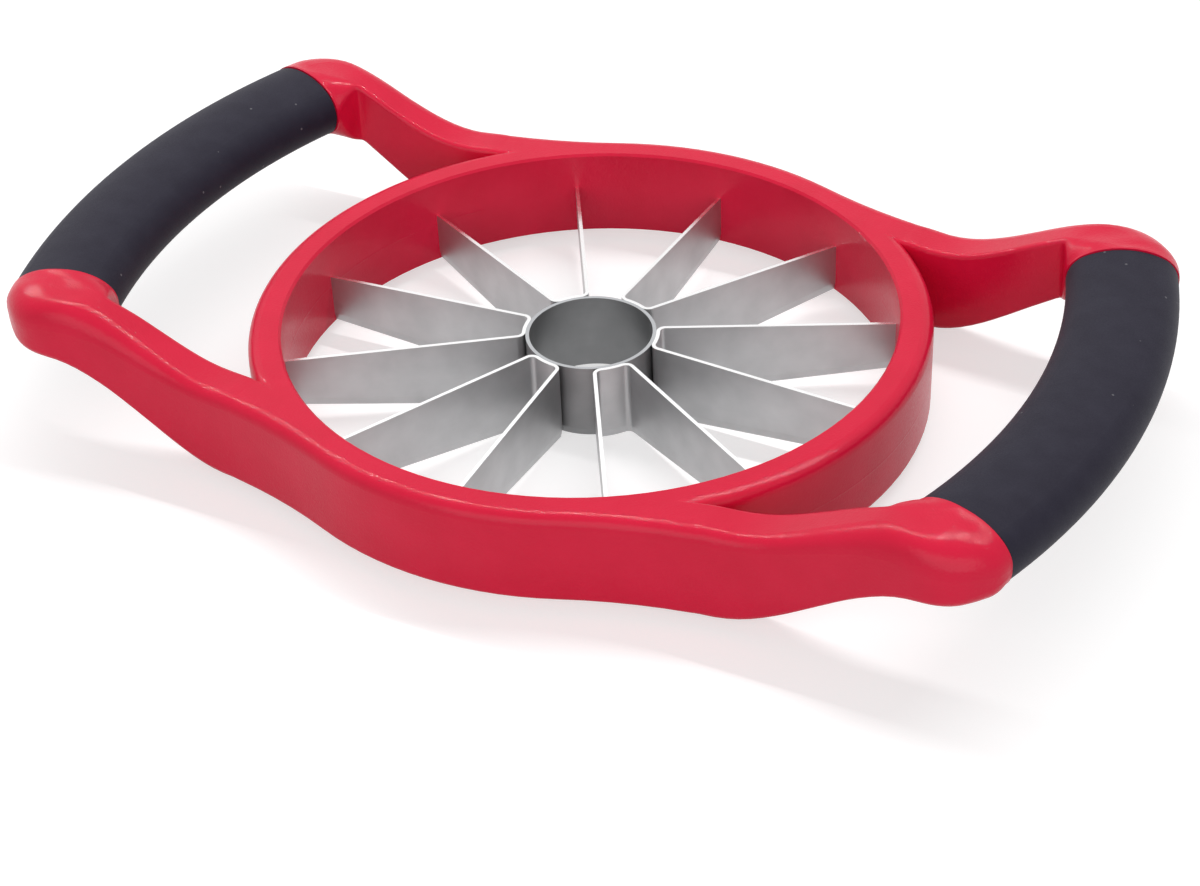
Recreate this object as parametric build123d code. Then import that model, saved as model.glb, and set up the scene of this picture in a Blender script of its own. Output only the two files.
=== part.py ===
from build123d import *
import math
import os

# Two-handled apple slicer. X runs from handle to handle, Y across, and the origin is the middle of
# the rim. The pieces are drawn with Z = 0 at the underside of the rim, and are lifted at the end so
# that the cutting edges at the middle, which it rests on, are at Z = 0. Sizes are in millimetres and
# degrees.

# Rim
BORE_R = 50.0  # takes an apple 10 cm across
RIM_WALL = 5.4
RIM_HEIGHT = 15.4
RIM_BEVEL = 0.4  # bevel of the bore's upper edge

# Side rails, which wrap the rim and leave it in a tangent
RAIL_PROUD = 0.2  # rail's outer wall outside the rim's
RAIL_WIDTH = 7.5
LEAVE_ANGLE = 21.5  # from the Y axis to where the rail stops following the rim
WAIST_R = 96.0  # hollow curve of the rail's outer wall
OUTER_EDGE_R = 2.0  # rounding of the upper outer edges
INNER_EDGE_R = 0.8  # rounding of the upper inner edge
LOWER_EDGE_R = 0.8

# Arms, the stretch of rail that rises to the handle
ARM_START_X = 39.5  # where the arm takes over from the rail, still level
UNDERSIDE_RISE_X = 43.0  # where the underside starts to rise
UNDERSIDE_END_X = 76.0  # where the underside is level again
TOP_RISE_X = 45.0  # where the top starts to rise
TOP_END_X = 74.5  # where the top is level again
ARM_END_LOW = 14.6
ARM_EDGE_R = 4.0  # rounding that the upper outer edge grows to as the top rises
CORNER_R = 10.3  # outer corner between arm and handle
INNER_CORNER_R = 1.0
CORNER_DIP = 0.5  # fall of the top's outer edge midway round the corner
# How late round the corner the arm's section turns into the grip's: 1 is evenly, more is later
LOWER_ROUND_LATE = (3.0, 3.0)  # width and height of the roundings of the lower edges
INNER_ROUND_LATE = (2.0, 2.0)  # of the upper inner edge
OUTER_ROUND_LATE = (2.2, 1.1)  # of the upper outer edge
LOWER_LEVEL_LATE = 3.0  # level of the underside
INNER_LEVEL_LATE = 2.5  # of the top's inner edge
OUTER_LEVEL_LATE = 2.0  # of the top's outer edge
ARM_STEPS = 7  # steps between the arm's sections
CORNER_STEPS = 6  # steps round the corner, about as long

# Handles
LENGTH = 184.1  # over the two grips
GRIP_ARC_R = 110.0  # bend of the grip's centre line in plan
GRIP_WIDTH = 18.0
GRIP_HEIGHT = 12.0
GRIP_MIDDLE_Z = 18.8
GRIP_FLAT = 1.0  # short flats between the four rounded corners of the shoulder's oval section
GRIP_SIDE_R = 5.0  # small radius of the sleeve's oval section, which is of four arcs
GRIP_WALL = 2.0  # soft layer over the core bar
CORE_BEVEL = 2.5  # bevel of the core bar's corners
GRIP_SUNK = 0.15  # grip's surface below the frame's shoulder
GRIP_BEVEL = 0.25  # bevel of the grip's ends, which makes the groove at the seam
COLLAR = 0.4  # length of the frame's shoulder before the corner starts

# Blades
WEDGES = 12
STRIP_GAUGE = 0.6
CORE_HEIGHT = 13.2  # height of the tube and of a strip's web
CORE_PROUD = 2.4  # how far they reach below the rim
CUT_RISE = 2.6  # rise of a blade's cutting edge from the web to the rim
TOP_FALL = 2.0  # fall of its upper edge
BEVEL_HEIGHT = 1.4  # ground part of the cutting edge
EDGE_LAND = 0.1  # flat left on a ground edge
FOLD_R = 1.2  # bend of the strip's middle line beside the tube
SEAT_DEPTH = 0.5  # end of the blade let into the rim
TAB_LENGTH = 2.2
TAB_NECK = 4.0
TAB_FLARE = 6.5

# Core tube
TUBE_R = 10.7
TUBE_GAUGE = 0.6
TUBE_LAND = 0.2  # flat left at the tube's lower end


def polar(centre, radius, degrees):
    """Point of the plan at an angle round a centre, anticlockwise from +X."""
    turn = math.radians(degrees)
    return Vector(centre.X + radius * math.cos(turn), centre.Y + radius * math.sin(turn))


def heading(start, end):
    """Angle of the line from one plan point to another."""
    return math.degrees(math.atan2(end.Y - start.Y, end.X - start.X))


def outer_meeting(centre_a, radius_a, centre_b, radius_b):
    """The crossing of two plan circles that lies further out along X."""
    apart = (centre_b - centre_a).length
    foot = (radius_a**2 - radius_b**2 + apart**2) / (2 * apart)
    lift = math.degrees(math.acos(foot / radius_a))
    line = heading(centre_a, centre_b)
    crossings = [polar(centre_a, radius_a, line + side * lift) for side in (1, -1)]
    return max(crossings, key=lambda point: point.X)


# Sizes that follow from the driving ones. The rail and arm are worked out for the +X +Y quarter.
ORIGIN = Vector(0, 0)
BASE = (Align.CENTER, Align.CENTER, Align.MIN)  # stands a cylinder or cone on its lower end
ROUND = 4 / 3 * (math.sqrt(2) - 1)  # makes a Bezier corner a quarter of an ellipse
rim_r = BORE_R + RIM_WALL
rail_r = rim_r + RAIL_PROUD
waist_centre = polar(ORIGIN, rail_r + WAIST_R, 90 - LEAVE_ANGLE)
arm_start = -90 - math.degrees(math.asin((waist_centre.X - ARM_START_X) / WAIST_R))
grip_tip_x = LENGTH / 2 + GRIP_SUNK - GRIP_WIDTH / 2
grip_centre = Vector(grip_tip_x - GRIP_ARC_R, 0)
grip_outer_r = GRIP_ARC_R + GRIP_WIDTH / 2
grip_inner_r = GRIP_ARC_R - GRIP_WIDTH / 2
corner_centre = outer_meeting(grip_centre, grip_outer_r - CORNER_R, waist_centre, WAIST_R + CORNER_R)
inner_corner_centre = outer_meeting(
    grip_centre, grip_inner_r - INNER_CORNER_R, waist_centre, WAIST_R + RAIL_WIDTH + INNER_CORNER_R
)
shoulder_angle = heading(grip_centre, corner_centre)
seam_angle = shoulder_angle - math.degrees(COLLAR / GRIP_ARC_R)
grip_low = GRIP_MIDDLE_Z - GRIP_HEIGHT / 2
grip_high = GRIP_MIDDLE_Z + GRIP_HEIGHT / 2
core_top = CORE_HEIGHT - CORE_PROUD
wedge_angle = 360 / WEDGES
web_r = TUBE_R + STRIP_GAUGE / 2


def upright(outer, inner):
    """Vertical plane through two plan points, with its x from outer to inner and its y up."""
    across = (inner - outer).normalized()
    return Plane(origin=outer, x_dir=across, z_dir=across.cross(Vector(0, 0, 1)))


def rounded(plane, points, corners):
    """Upright section with four points and a rounded corner at each.

    The points run anticlockwise from the lower outer one. A corner is (width, height): where it
    starts on the level side and on the upright one.
    """
    edges = []
    ends = []
    for turn, (point, corner) in enumerate(zip(points, corners)):
        before = points[turn - 1]
        after = points[(turn + 1) % 4]
        reach_in, reach_out = reversed(corner) if turn % 2 == 0 else corner
        start = point + (before - point).normalized() * reach_in
        end = point + (after - point).normalized() * reach_out
        lead_in = start + (point - start) * ROUND
        lead_out = end + (point - end) * ROUND
        edges.append(Bezier(start, lead_in, lead_out, end))
        ends.append((start, end))
    for turn in range(4):
        edges.append(Line(ends[turn][1], ends[(turn + 1) % 4][0]))
    return plane * make_face(Curve() + edges)


def oval(plane, width, low, high, corners):
    """Upright section with level and plumb sides and four rounded corners."""
    points = [Vector(0, low), Vector(width, low), Vector(width, high), Vector(0, high)]
    return rounded(plane, points, corners)


def rail_corners(share=0.0, risen=0.0):
    """Corners of a rail's section, each (width, height).

    They grow to the grip's as share goes from 0 to 1, and the upper outer one to the arm's as risen
    does.
    """
    grip_corner = ((GRIP_WIDTH - GRIP_FLAT) / 2, (GRIP_HEIGHT - GRIP_FLAT) / 2)
    corners = []
    for radius, late in (
        (LOWER_EDGE_R, LOWER_ROUND_LATE),
        (LOWER_EDGE_R, LOWER_ROUND_LATE),
        (INNER_EDGE_R, INNER_ROUND_LATE),
        (OUTER_EDGE_R + risen * (ARM_EDGE_R - OUTER_EDGE_R), OUTER_ROUND_LATE),
    ):
        corner = [radius + share**power * (end - radius) for end, power in zip(grip_corner, late)]
        corners.append(corner)
    return corners


def across_handle(angle):
    """Place of an upright section at an angle round the handle's arc, in the middle of the grip."""
    middle = polar(grip_centre, GRIP_ARC_R, angle)
    return upright(middle, grip_centre) * Pos(0, GRIP_MIDDLE_Z)


def core_section(angle):
    """Section of the bar inside the grip: a rectangle with bevelled corners."""
    bar = Rectangle(GRIP_WIDTH - 2 * GRIP_WALL, GRIP_HEIGHT - 2 * GRIP_WALL)
    return across_handle(angle) * chamfer(bar.vertices(), CORE_BEVEL)


def sleeve_section(angle):
    """Section of the soft sleeve: a lens of two large arcs with its two points rounded."""
    half_width = GRIP_WIDTH / 2 - GRIP_SUNK
    half_height = GRIP_HEIGHT / 2 - GRIP_SUNK
    reach = half_width**2 + half_height**2 - 2 * half_width * GRIP_SIDE_R
    crown_r = reach / (2 * (half_height - GRIP_SIDE_R))
    crown = Pos(0, half_height - crown_r) * Circle(crown_r)
    lens = crown & mirror(crown, Plane.XZ)
    return across_handle(angle) * fillet(lens.vertices(), GRIP_SIDE_R)


def along(arcs, share):
    """Plan point at a share of the length of a chain of two arcs, each (centre, radius, from, to)."""
    first, second = (radius * math.radians(abs(end - start)) for _, radius, start, end in arcs)
    distance = share * (first + second)
    if distance < first:
        centre, radius, start, end = arcs[0]
        return polar(centre, radius, start + (end - start) * distance / first)
    centre, radius, start, end = arcs[1]
    return polar(centre, radius, start + (end - start) * (distance - first) / second)


def rise(x, start_x, end_x, start_z, end_z):
    """Height of the arm's top or underside, an S from one level to another."""
    share = min(max((x - start_x) / (end_x - start_x), 0), 1)
    return start_z + (end_z - start_z) * share**2 * (3 - 2 * share)


def arm_section(outer, inner, share):
    """Section of the arm between its outer and inner wall, which turns into the grip's by share."""
    walls = []
    for point, late in ((outer, OUTER_LEVEL_LATE), (inner, INNER_LEVEL_LATE)):
        low = rise(point.X, UNDERSIDE_RISE_X, UNDERSIDE_END_X, 0, ARM_END_LOW)
        high = rise(point.X, TOP_RISE_X, TOP_END_X, RIM_HEIGHT, grip_high)
        low += share**LOWER_LEVEL_LATE * (grip_low - low)
        high += share**late * (grip_high - high)
        walls.append((low, high))
    width = (inner - outer).length
    (outer_low, outer_high), (inner_low, inner_high) = walls
    outer_high -= CORNER_DIP * (4 * share * (1 - share)) ** 2
    points = [
        Vector(0, outer_low),
        Vector(width, inner_low),
        Vector(width, inner_high),
        Vector(0, outer_high),
    ]
    risen = rise(outer.X, TOP_RISE_X, TOP_END_X, 0, 1)
    return rounded(upright(outer, inner), points, rail_corners(share, risen))


def arm():
    """One arm in one smooth loft, which rises in an S and turns the corner to end in an oval."""
    bend = heading(waist_centre, inner_corner_centre)
    sections = []
    for station in range(ARM_STEPS):
        angle = arm_start + (bend - arm_start) * station / ARM_STEPS
        outer = polar(waist_centre, WAIST_R, angle)
        inner = polar(waist_centre, WAIST_R + RAIL_WIDTH, angle)
        sections.append(arm_section(outer, inner, 0))

    corner_start = heading(waist_centre, corner_centre)
    outer_wall = [
        (waist_centre, WAIST_R, bend, corner_start),
        (corner_centre, CORNER_R, heading(corner_centre, waist_centre), shoulder_angle),
    ]
    inner_end = heading(grip_centre, inner_corner_centre)
    inner_wall = [
        (inner_corner_centre, INNER_CORNER_R, heading(inner_corner_centre, waist_centre), inner_end),
        (grip_centre, grip_inner_r, inner_end, shoulder_angle),
    ]
    for station in range(CORNER_STEPS + 1):
        share = station / CORNER_STEPS
        sections.append(arm_section(along(outer_wall, share), along(inner_wall, share), share))
    return loft(sections)


def rail():
    """The level stretch of one rail between its two arms, on the +Y side."""
    radial = polar(ORIGIN, rail_r, 90 - LEAVE_ANGLE)
    inner = polar(ORIGIN, rail_r - RAIL_WIDTH, 90 - LEAVE_ANGLE)
    section = oval(upright(radial, inner), RAIL_WIDTH, 0, RIM_HEIGHT, rail_corners())
    wrap = revolve(section, Axis.Z, 2 * LEAVE_ANGLE)
    start = heading(waist_centre, ORIGIN)
    waist = revolve(section, Axis(waist_centre, (0, 0, 1)), arm_start - start % -360)
    return wrap + waist + mirror(waist, Plane.YZ)


def bore():
    """Cutter for the rim's bore, with its upper edge bevelled."""
    hole = Cylinder(BORE_R, RIM_HEIGHT, align=BASE)
    lip = Cone(BORE_R, BORE_R + RIM_BEVEL, RIM_BEVEL, align=BASE)
    return hole + Pos(0, 0, RIM_HEIGHT - RIM_BEVEL) * lip


def rim():
    """The rim as a disc with rounded edges, which the bore cutter opens."""
    disc = Cylinder(rim_r, RIM_HEIGHT, align=BASE)
    disc = fillet(disc.edges().group_by(Axis.Z)[-1], OUTER_EDGE_R)
    return fillet(disc.edges().group_by(Axis.Z)[0], LOWER_EDGE_R)


def core_bar():
    """Bar inside one grip, from seam to seam."""
    return revolve(core_section(-seam_angle), Axis(grip_centre, (0, 0, 1)), 2 * seam_angle)


def handle():
    """Core bar of one handle, with the frame's oval shoulder at each end of it."""
    turn = shoulder_angle - seam_angle
    outer = polar(grip_centre, grip_outer_r, seam_angle)
    inner = polar(grip_centre, grip_inner_r, seam_angle)
    section = oval(upright(outer, inner), GRIP_WIDTH, grip_low, grip_high, rail_corners(1))
    collar = revolve(section, Axis(grip_centre, (0, 0, 1)), turn)
    return core_bar() + collar + mirror(collar, Plane.XZ)


def moulded_frame(strips):
    """Rim, rails, arms and core bars in one moulding, with a seat for each end of each strip."""
    right = handle() + arm() + mirror(arm(), Plane.XZ)
    frame = rim() + rail() + mirror(rail(), Plane.XZ) + right + mirror(right, Plane.YZ)
    frame -= bore()
    for strip in strips:
        frame -= strip
    return frame


def grip():
    """Soft sleeve moulded over one core bar, a little below the shoulders and bevelled at its ends."""
    sleeve = revolve(sleeve_section(-seam_angle), Axis(grip_centre, (0, 0, 1)), 2 * seam_angle)
    faces = sleeve.faces().sort_by(Axis.Y)
    sleeve = chamfer(faces[0].edges() + faces[-1].edges(), GRIP_BEVEL)
    return sleeve - core_bar()


def strip_profile(plane, low=-CORE_PROUD, high=core_top):
    """Upright section of a strip: flat sides and a double bevel down to the cutting edge."""
    half = STRIP_GAUGE / 2
    land = EDGE_LAND / 2
    shoulder = low + BEVEL_HEIGHT
    outline = Polyline(
        (-half, high), (-half, shoulder), (-land, low), (land, low), (half, shoulder), (half, high),
        close=True,
    )
    return plane * make_face(outline)


def blade_arm():
    """Half of a strip along +X: the dovetail tab, the blade and the fold that turns to the tube."""
    fold_x = math.sqrt((web_r + FOLD_R) ** 2 - FOLD_R**2)
    fold_turn = 90 - math.degrees(math.asin(FOLD_R / (web_r + FOLD_R)))
    seat_r = BORE_R + SEAT_DEPTH
    seat_low = CUT_RISE - CORE_PROUD
    seat_high = core_top - TOP_FALL
    start = strip_profile(Plane(origin=(fold_x, 0, 0), x_dir=(0, 1, 0), z_dir=(1, 0, 0)))
    end = strip_profile(
        Plane(origin=(seat_r, 0, 0), x_dir=(0, 1, 0), z_dir=(1, 0, 0)), seat_low, seat_high
    )
    blade = loft([start, end], ruled=True)
    fold = revolve(start, Axis((fold_x, FOLD_R, 0), (0, 0, -1)), fold_turn)
    middle = (seat_low + seat_high) / 2
    tab_outline = Polyline(
        (seat_r, middle - TAB_NECK / 2),
        (seat_r + TAB_LENGTH, middle - TAB_FLARE / 2),
        (seat_r + TAB_LENGTH, middle + TAB_FLARE / 2),
        (seat_r, middle + TAB_NECK / 2),
        close=True,
    )
    tab = extrude(Plane.XZ * make_face(tab_outline), STRIP_GAUGE / 2, both=True)
    return blade + fold + tab


def blade_strip():
    """One folded strip: a blade along +X, the web on the tube, and a blade one wedge further on."""
    lead = math.degrees(math.asin(FOLD_R / (web_r + FOLD_R)))
    start = polar(ORIGIN, web_r, lead)
    web_profile = strip_profile(upright(start, polar(ORIGIN, 2 * web_r, lead)))
    web = revolve(web_profile, Axis.Z, wedge_angle - 2 * lead)
    first = blade_arm()
    bisector = Plane(origin=(0, 0, 0), z_dir=polar(ORIGIN, 1, wedge_angle / 2 + 90))
    return first + web + mirror(first, bisector)


def core_tube():
    """Tube at the middle, ground outside to a cutting edge at its lower end."""
    inside = TUBE_R - TUBE_GAUGE
    outline = Polyline(
        (inside, -CORE_PROUD),
        (inside + TUBE_LAND, -CORE_PROUD),
        (TUBE_R, BEVEL_HEIGHT - CORE_PROUD),
        (TUBE_R, core_top),
        (inside, core_top),
        close=True,
    )
    return revolve(Plane.XZ * make_face(outline))


def build():
    """Every node of the slicer by name."""
    strip = blade_strip()
    strips = [Rot(0, 0, 2 * wedge_angle * turn) * strip for turn in range(WEDGES // 2)]
    right_grip = grip()
    nodes = {
        "moulded_frame": moulded_frame(strips),
        "core_tube": core_tube(),
        "grip_right": right_grip,
        "grip_left": mirror(right_grip, Plane.YZ),
    }
    for number, piece in enumerate(strips, start=1):
        nodes[f"blade_strip_{number}"] = piece
    return nodes


os.makedirs("parts", exist_ok=True)
for name, piece in build().items():
    export_step(Pos(0, 0, CORE_PROUD) * piece, f"parts/{name}.step")
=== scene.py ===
"""Looks of the apple slicer: its materials, and a plain studio with the camera at the photograph's angle.

The CAD nodes keep their shapes. Each takes one node material: crimson plastic for the frame, charcoal
rubber for the grips, a dull steel for the core tube and a satin steel for the blade strips. Places and
sizes are in metres in the frame of the CAD, whose front is towards -Y and whose floor is at z = 0.
"""

import math

import bpy
from mathutils import Euler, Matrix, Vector


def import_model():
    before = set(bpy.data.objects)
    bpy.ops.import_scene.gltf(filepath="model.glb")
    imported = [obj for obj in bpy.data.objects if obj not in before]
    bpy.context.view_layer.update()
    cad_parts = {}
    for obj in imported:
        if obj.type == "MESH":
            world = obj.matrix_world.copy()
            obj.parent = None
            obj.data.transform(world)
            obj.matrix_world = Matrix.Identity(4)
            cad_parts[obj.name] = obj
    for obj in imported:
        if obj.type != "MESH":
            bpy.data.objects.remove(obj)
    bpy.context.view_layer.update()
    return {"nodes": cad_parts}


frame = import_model()

MM = 0.001
STRIPS = 6  # folded blade strips round the core tube

# Camera, with its angles in degrees
AZIMUTH = 28.49  # round from the front, to the right
ELEVATION = 36.18
ROLL = -2.68
DISTANCE = 0.4023
AIM = (0.00665, -0.01091, 0.0)
LENS = 74.49  # focal length and sensor width in millimetres
SENSOR = 36.0
CLIP_START = 0.01

# Lamps, with their width and height in metres and their power in watts
STRIP_SPOT = (-0.55, 0.32, 0.80)  # behind and to the left, for the highlight along the frame's front edges
STRIP_AIM = (-0.55, 0, 0)  # the same x as the spot, so that the lamp lies parallel to the rails
STRIP_SIZE = (2.2, 0.015)
STRIP_POWER = 9.3
FILL_SPOT = (0.37, -1.02, 0.55)  # in front and to the right, for the front walls
FILL_AIM = (0, 0, 0)
FILL_SIZE = (2.0, 1.0)
FILL_POWER = 9.0

# World: the strength that lights the object, and the one that the camera and reflections see as white
WORLD_LEVEL = 0.27
WORLD_WHITE = 1.0

# Floor
FLOOR_R = 0.58  # the floor ends where the lamps still keep it white
FLOOR_SIDES = 96
FLOOR_LIFT = 0.58  # emission that lifts the lit floor to white for the camera and reflections

# Colours, linear: two shades for each mottled surface, and for the steel a pale colour on the faces that
# point up, a painted highlight
CRIMSON = (0.72, 0.008, 0.047)
CRIMSON_DEEP = (0.68, 0.006, 0.041)
CHARCOAL = (0.012, 0.010, 0.021)
CHARCOAL_PALE = (0.018, 0.016, 0.029)
DUST = (0.15, 0.145, 0.16)
STEEL = (0.52, 0.523, 0.53)
STEEL_CLOUD = (0.45, 0.453, 0.46)
# painted highlight: the blade steel's colour where its faces point up
STEEL_PAINTED_HIGHLIGHT = (0.93, 0.93, 0.93)
TUBE_STEEL = (0.27, 0.272, 0.276)
TUBE_CLOUD = (0.23, 0.232, 0.236)
# painted highlight: the tube steel's colour where its faces point up
TUBE_PAINTED_HIGHLIGHT = (0.50, 0.51, 0.525)
FLOOR_GREY = (0.56, 0.56, 0.56)
WHITE = (1.0, 1.0, 1.0)

# Shader values that are the same all over a surface
PLASTIC_FINISH = {"Specular IOR Level": 0.08, "Coat Weight": 0.26, "Coat Roughness": 0.05}
RUBBER_FINISH = {"Specular IOR Level": 0.17, "Sheen Weight": 0.03, "Sheen Roughness": 0.4}
STEEL_FINISH = {"Metallic": 1.0}
FLOOR_FINISH = {"Roughness": 0.9, "Specular IOR Level": 0.0}

# Roughness at the low and at the high end of a surface's grain
PLASTIC_ROUGHNESS = (0.30, 0.42)
RUBBER_ROUGHNESS = (0.55, 0.68)
STEEL_ROUGHNESS = (0.40, 0.48)

# Spans of noise that are stretched to the full range: the narrower the span, the more contrast
WIDE_SPAN = (0.25, 0.75)
MIDDLE_SPAN = (0.3, 0.7)
NARROW_SPAN = (0.35, 0.65)

# Detail of the frame
FRAME_MOTTLE = 9 * MM
SPARK_GRAIN = 0.38 * MM  # pits of the mould's eroded finish
SPARK_DEPTH = 0.045 * MM
PARTING_Z = 9.5 * MM  # mould line round the rim's walls
PARTING_HALF = 0.22 * MM
PARTING_HEIGHT = 0.03 * MM
RIM_REACH = 57 * MM  # the rim's walls lie inside this radius
PARTING_START = 38 * MM  # the rails cover the rim's outer wall nearer the middle

# Detail of the grips
GRIP_MOTTLE = 4 * MM
GRIP_GRAIN = 0.22 * MM
GRIP_DEPTH = 0.010 * MM
DUST_CELL = 4.2 * MM  # each cell of this size has one speck, which shows where it meets the surface
DUST_CORE = 0.035  # a speck's full cover ends here, as a share of its cell
DUST_REACH = 0.06  # and all of it here
DUST_COVER = 0.8

# Detail of the steel
STEEL_MOTTLE = 6 * MM
BRUSH_ALONG = 9 * MM  # the brush lines run level
BRUSH_ACROSS = 0.09 * MM
BRUSH_DEPTH = 0.001 * MM
UPWARD_SPAN = (0.7, 0.8)  # z of a face's normal: below it is a side, above it an upper edge
EDGE_POLISH = 0.2  # how much less rough an upper edge is than a side


class Graph:
    """A material's node tree, with short calls for the nodes that are used here."""

    def __init__(self, name, finish):
        self.material = bpy.data.materials.new(name)
        self.material.use_nodes = True
        self.tree = self.material.node_tree
        self.shader = self.tree.nodes["Principled BSDF"]
        for socket, value in finish.items():
            self.set(socket, value)

    def node(self, kind, **settings):
        """New node of a kind, with its own settings."""
        made = self.tree.nodes.new(kind)
        for key, value in settings.items():
            setattr(made, key, value)
        return made

    def link(self, out, into):
        """Link from an output to an input."""
        self.tree.links.new(out, into)

    def place(self, scale=(1, 1, 1)):
        """Position on the object in metres, times a scale for each axis."""
        coords = self.node("ShaderNodeTexCoord")
        mapping = self.node("ShaderNodeMapping")
        mapping.inputs["Scale"].default_value = scale
        self.link(coords.outputs["Object"], mapping.inputs["Vector"])
        return mapping.outputs["Vector"]

    def split(self, vector):
        """The X, Y and Z outputs of a vector."""
        made = self.node("ShaderNodeSeparateXYZ")
        self.link(vector, made.inputs["Vector"])
        return made.outputs

    def noise(self, size, where=None, detail=2.0, roughness=0.5):
        """Noise whose features are about one size across, in metres or in the units of where."""
        made = self.node("ShaderNodeTexNoise")
        made.inputs["Scale"].default_value = 1 / size
        made.inputs["Detail"].default_value = detail
        made.inputs["Roughness"].default_value = roughness
        self.link(self.place() if where is None else where, made.inputs["Vector"])
        return made.outputs["Fac"]

    def ramp(self, value, low, high, to_low=0.0, to_high=1.0):
        """A value from low to high, turned into one from to_low to to_high and kept between them."""
        made = self.node("ShaderNodeMapRange")
        made.inputs["From Min"].default_value = low
        made.inputs["From Max"].default_value = high
        made.inputs["To Min"].default_value = to_low
        made.inputs["To Max"].default_value = to_high
        self.link(value, made.inputs["Value"])
        return made.outputs["Result"]

    def math(self, operation, first, second=None):
        """Result of an operation on one or two values, each a number or an output."""
        made = self.node("ShaderNodeMath", operation=operation)
        for socket, value in zip(made.inputs, (first, second)):
            if isinstance(value, (int, float)):
                socket.default_value = value
            elif value is not None:
                self.link(value, socket)
        return made.outputs["Value"]

    def mix(self, share, first, second):
        """Colour between first and second, each a colour or an output."""
        made = self.node("ShaderNodeMix", data_type="RGBA")
        self.link(share, made.inputs["Factor"])
        for name, value in (("A", first), ("B", second)):
            socket = next(s for s in made.inputs if s.name == name and s.type == "RGBA")
            if isinstance(value, tuple):
                socket.default_value = (*value, 1)
            else:
                self.link(value, socket)
        return next(s for s in made.outputs if s.type == "RGBA")

    def bump(self, height, depth, before=None):
        """Bump of the given depth in metres, on top of another bump if one is given."""
        made = self.node("ShaderNodeBump")
        made.inputs["Distance"].default_value = depth
        self.link(height, made.inputs["Height"])
        if before is not None:
            self.link(before, made.inputs["Normal"])
        return made.outputs["Normal"]

    def set(self, name, value):
        """Shader input from a number, a colour or an output."""
        socket = self.shader.inputs[name]
        if isinstance(value, (int, float)):
            socket.default_value = value
        elif isinstance(value, tuple):
            socket.default_value = (*value, 1)
        else:
            self.link(value, socket)


def parting_line(g):
    """Height of the mould line, from 1 on the line to 0 beside it and away from the rim's bare walls."""
    x, y, z = g.split(g.place())
    off_line = g.math("ABSOLUTE", g.math("SUBTRACT", z, PARTING_Z))
    ridge = g.ramp(off_line, 0, PARTING_HALF, 1, 0)
    radius = g.math("SQRT", g.math("ADD", g.math("MULTIPLY", x, x), g.math("MULTIPLY", y, y)))
    on_rim = g.math("LESS_THAN", radius, RIM_REACH)
    beside = g.math("GREATER_THAN", g.math("ABSOLUTE", x), PARTING_START)
    return g.math("MULTIPLY", ridge, g.math("MULTIPLY", on_rim, beside))


def frame_plastic():
    """Crimson moulding with a fine spark-eroded grain, and the mould's parting line on the rim."""
    g = Graph("frame_plastic", PLASTIC_FINISH)
    mottle = g.ramp(g.noise(FRAME_MOTTLE, detail=3), *NARROW_SPAN)
    g.set("Base Color", g.mix(mottle, CRIMSON, CRIMSON_DEEP))
    grain = g.noise(SPARK_GRAIN, detail=2, roughness=0.6)
    g.set("Roughness", g.ramp(grain, *MIDDLE_SPAN, *PLASTIC_ROUGHNESS))
    relief = g.bump(parting_line(g), PARTING_HEIGHT, before=g.bump(grain, SPARK_DEPTH))
    g.set("Normal", relief)
    g.set("Coat Normal", relief)
    return g.material


def dust(g):
    """Cover of the pale specks, each the middle of a Voronoi cell that the surface passes close by."""
    cells = g.node("ShaderNodeTexVoronoi")
    cells.inputs["Scale"].default_value = 1 / DUST_CELL
    g.link(g.place(), cells.inputs["Vector"])
    return g.ramp(cells.outputs["Distance"], DUST_CORE, DUST_REACH, DUST_COVER, 0)


def grip_rubber():
    """Charcoal soft-touch rubber: a matte grain, a slight sheen and a little pale dust."""
    g = Graph("grip_rubber", RUBBER_FINISH)
    mottle = g.ramp(g.noise(GRIP_MOTTLE, detail=4), *MIDDLE_SPAN)
    g.set("Base Color", g.mix(dust(g), g.mix(mottle, CHARCOAL, CHARCOAL_PALE), DUST))
    grain = g.noise(GRIP_GRAIN, detail=2, roughness=0.6)
    g.set("Roughness", g.ramp(grain, *MIDDLE_SPAN, *RUBBER_ROUGHNESS))
    g.set("Normal", g.bump(grain, GRIP_DEPTH))
    return g.material


def brushed_steel(name, light, cloudy, painted_highlight):
    """Stainless steel, clouded and brushed on its sides. Where it faces up it is less rough, and a paler
    colour there is a painted highlight.
    """
    g = Graph(name, STEEL_FINISH)
    normal = g.node("ShaderNodeNewGeometry").outputs["True Normal"]
    # faces that point up: a painted highlight in the colour, and a real polish in the roughness
    highlight_and_polish = g.ramp(g.split(normal)["Z"], *UPWARD_SPAN)
    cloud = g.ramp(g.noise(STEEL_MOTTLE, detail=3), *MIDDLE_SPAN)
    # painted highlight: the colour turns pale where the steel faces up
    g.set("Base Color", g.mix(highlight_and_polish, g.mix(cloud, light, cloudy), painted_highlight))
    lines = g.place((1 / BRUSH_ALONG, 1 / BRUSH_ALONG, 1 / BRUSH_ACROSS))
    brush = g.noise(1.0, lines, detail=3, roughness=0.6)
    satin = g.ramp(brush, *WIDE_SPAN, *STEEL_ROUGHNESS)
    g.set("Roughness", g.math("SUBTRACT", satin, g.math("MULTIPLY", highlight_and_polish, EDGE_POLISH)))
    g.set("Normal", g.bump(brush, BRUSH_DEPTH))
    return g.material


def dress(node, material):
    """The CAD node's material slots all take the one material."""
    piece = frame["nodes"][node]
    piece.data.materials.clear()
    piece.data.materials.append(material)


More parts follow.
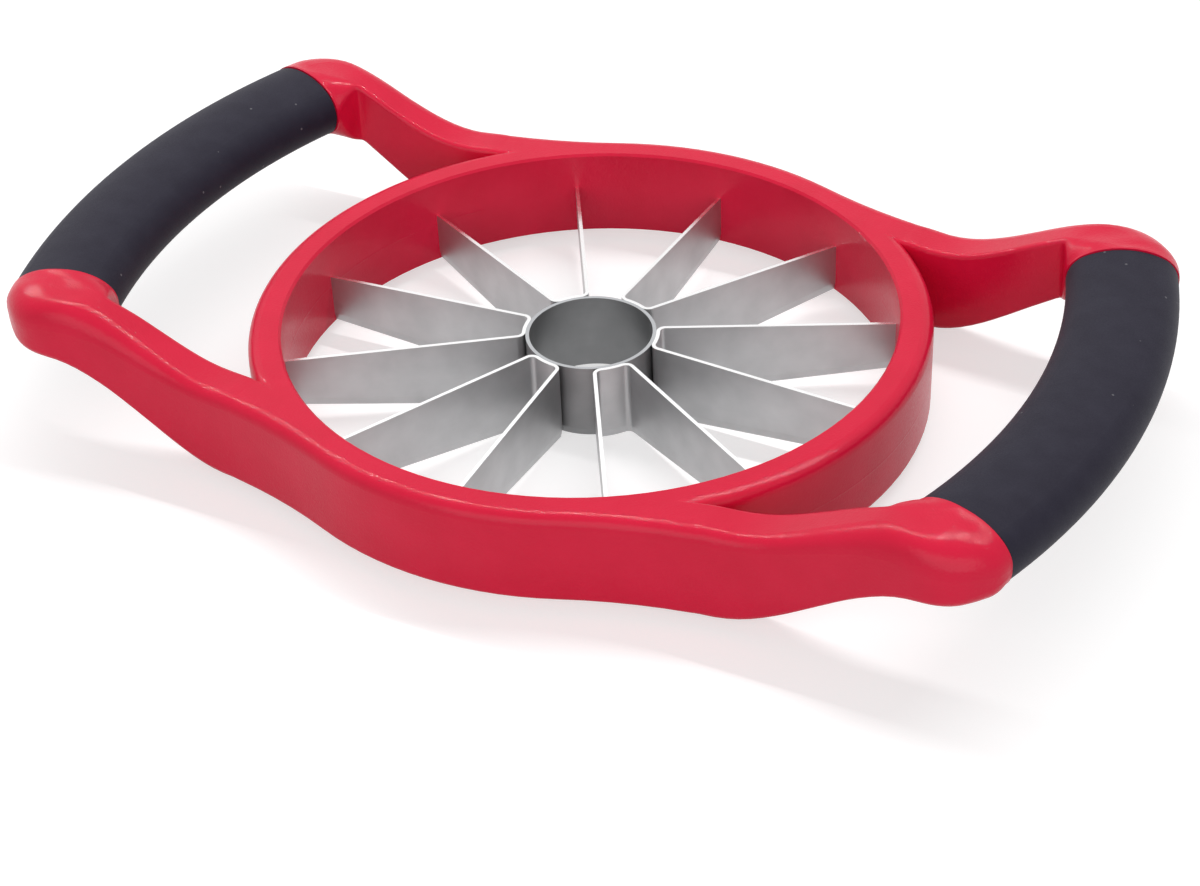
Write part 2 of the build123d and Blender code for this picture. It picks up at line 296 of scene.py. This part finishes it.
def seen_rays(tree):
    """1 for what the camera, reflections and transparency see, and 0 for what lights a surface."""
    rays = tree.nodes.new("ShaderNodeLightPath")
    seen = rays.outputs["Is Camera Ray"]
    for name in ("Is Glossy Ray", "Is Transmission Ray"):
        most = tree.nodes.new("ShaderNodeMath")
        most.operation = "MAXIMUM"
        tree.links.new(seen, most.inputs[0])
        tree.links.new(rays.outputs[name], most.inputs[1])
        seen = most.outputs["Value"]
    return seen


def studio_floor():
    """Round pale table. The camera and reflections see it lifted to white, and its shadows stay."""
    bpy.ops.mesh.primitive_circle_add(
        vertices=FLOOR_SIDES, radius=FLOOR_R, fill_type="NGON", location=(0, 0, 0)
    )
    floor = bpy.context.object
    floor.name = "floor"
    g = Graph("floor", FLOOR_FINISH)
    g.set("Base Color", FLOOR_GREY)
    g.set("Emission Color", WHITE)
    g.set("Emission Strength", g.math("MULTIPLY", seen_rays(g.tree), FLOOR_LIFT))
    floor.data.materials.append(g.material)


def world():
    """Even soft light, which the camera and reflections see as white."""
    made = bpy.data.worlds.new("studio")
    bpy.context.scene.world = made
    made.use_nodes = True
    tree = made.node_tree
    back = tree.nodes["Background"]
    back.inputs["Color"].default_value = (*WHITE, 1)
    level = tree.nodes.new("ShaderNodeMapRange")
    level.inputs["To Min"].default_value = WORLD_LEVEL
    level.inputs["To Max"].default_value = WORLD_WHITE
    tree.links.new(seen_rays(tree), level.inputs["Value"])
    tree.links.new(level.outputs["Result"], back.inputs["Strength"])


def softbox(name, spot, aim, size, power):
    """Rectangular area light at a spot, turned to its aim with its width level."""
    data = bpy.data.lights.new(name, "AREA")
    data.shape = "RECTANGLE"
    data.size, data.size_y = size
    data.energy = power
    light = bpy.data.objects.new(name, data)
    light.location = spot
    light.rotation_euler = (Vector(aim) - Vector(spot)).to_track_quat("-Z", "Y").to_euler()
    bpy.context.collection.objects.link(light)


def camera():
    """Camera that looks at AIM from its bearing, rolled a little as the photograph is."""
    azimuth = math.radians(AZIMUTH)
    elevation = math.radians(ELEVATION)
    level = math.cos(elevation)
    back = Vector((math.sin(azimuth) * level, -math.cos(azimuth) * level, math.sin(elevation)))
    data = bpy.data.cameras.new("camera")
    data.lens = LENS
    data.sensor_width = SENSOR
    data.sensor_fit = "HORIZONTAL"
    data.clip_start = CLIP_START
    made = bpy.data.objects.new("camera", data)
    made.location = Vector(AIM) + back * DISTANCE
    made.rotation_mode = "QUATERNION"
    roll = Euler((0, 0, math.radians(ROLL))).to_quaternion()
    made.rotation_quaternion = (-back).to_track_quat("-Z", "Y") @ roll
    bpy.context.collection.objects.link(made)
    bpy.context.scene.camera = made


dress("moulded_frame", frame_plastic())
rubber = grip_rubber()
for side in ("right", "left"):
    dress(f"grip_{side}", rubber)
dress("core_tube", brushed_steel("tube_steel", TUBE_STEEL, TUBE_CLOUD, TUBE_PAINTED_HIGHLIGHT))
blade_steel = brushed_steel("blade_steel", STEEL, STEEL_CLOUD, STEEL_PAINTED_HIGHLIGHT)
for number in range(1, STRIPS + 1):
    dress(f"blade_strip_{number}", blade_steel)

studio_floor()
world()
softbox("strip", STRIP_SPOT, STRIP_AIM, STRIP_SIZE, STRIP_POWER)
softbox("fill", FILL_SPOT, FILL_AIM, FILL_SIZE, FILL_POWER)
camera()
bpy.context.scene.view_settings.view_transform = "Standard"
